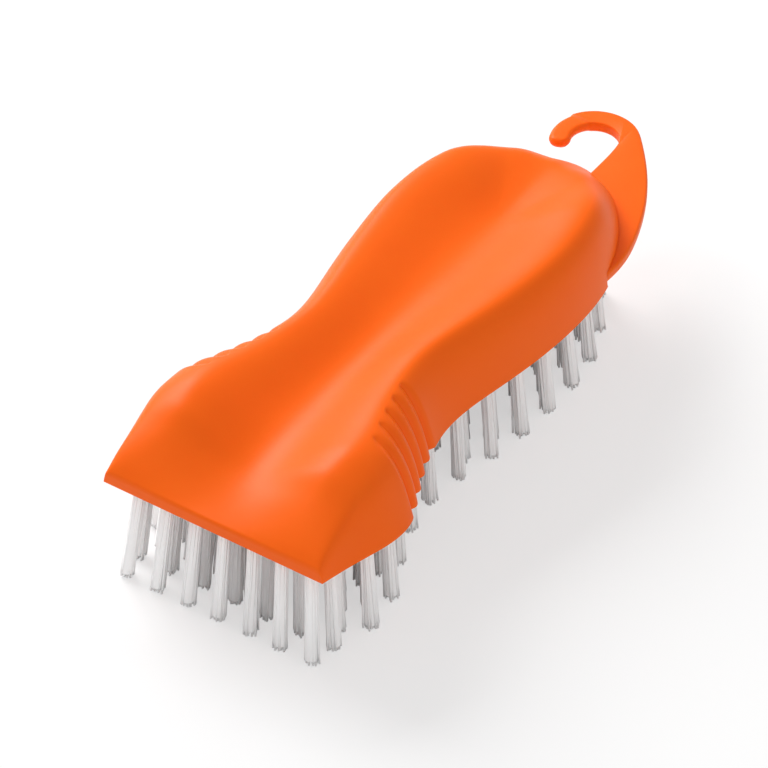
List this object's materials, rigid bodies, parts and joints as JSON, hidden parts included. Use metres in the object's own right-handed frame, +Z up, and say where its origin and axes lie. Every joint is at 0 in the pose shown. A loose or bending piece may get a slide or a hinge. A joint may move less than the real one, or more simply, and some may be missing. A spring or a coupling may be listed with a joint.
{
  "type": "palm scrubbing brush",
  "caption": "Palm scrubbing brush: saddle-shaped plastic handle shell with finger grooves, bristle block with a hanging hook, and staggered rows of white bristle tufts.",
  "frame": {"origin": "on the floor under the middle of the overall length, bristles down", "axes": "+X from the thin front lip to the hanging hook, +Y across to the left, +Z up"},
  "size_m": [0.1884, 0.0758, 0.0488],
  "materials": {
    "orange_plastic": "satin moulded polypropylene",
    "bristles": "translucent white filament"
  },
  "bodies": {
    "root": {"handle_shell": "orange_plastic", "bristle_block": "orange_plastic", "tufts_01": "bristles", "tufts_02": "bristles", "tufts_03": "bristles", "tufts_04": "bristles", "tufts_05": "bristles", "tufts_06": "bristles", "tufts_07": "bristles", "tufts_08": "bristles", "tufts_09": "bristles", "tufts_10": "bristles", "tufts_11": "bristles", "tufts_12": "bristles", "tufts_13": "bristles", "tufts_14": "bristles"}
  },
  "joints": []
}
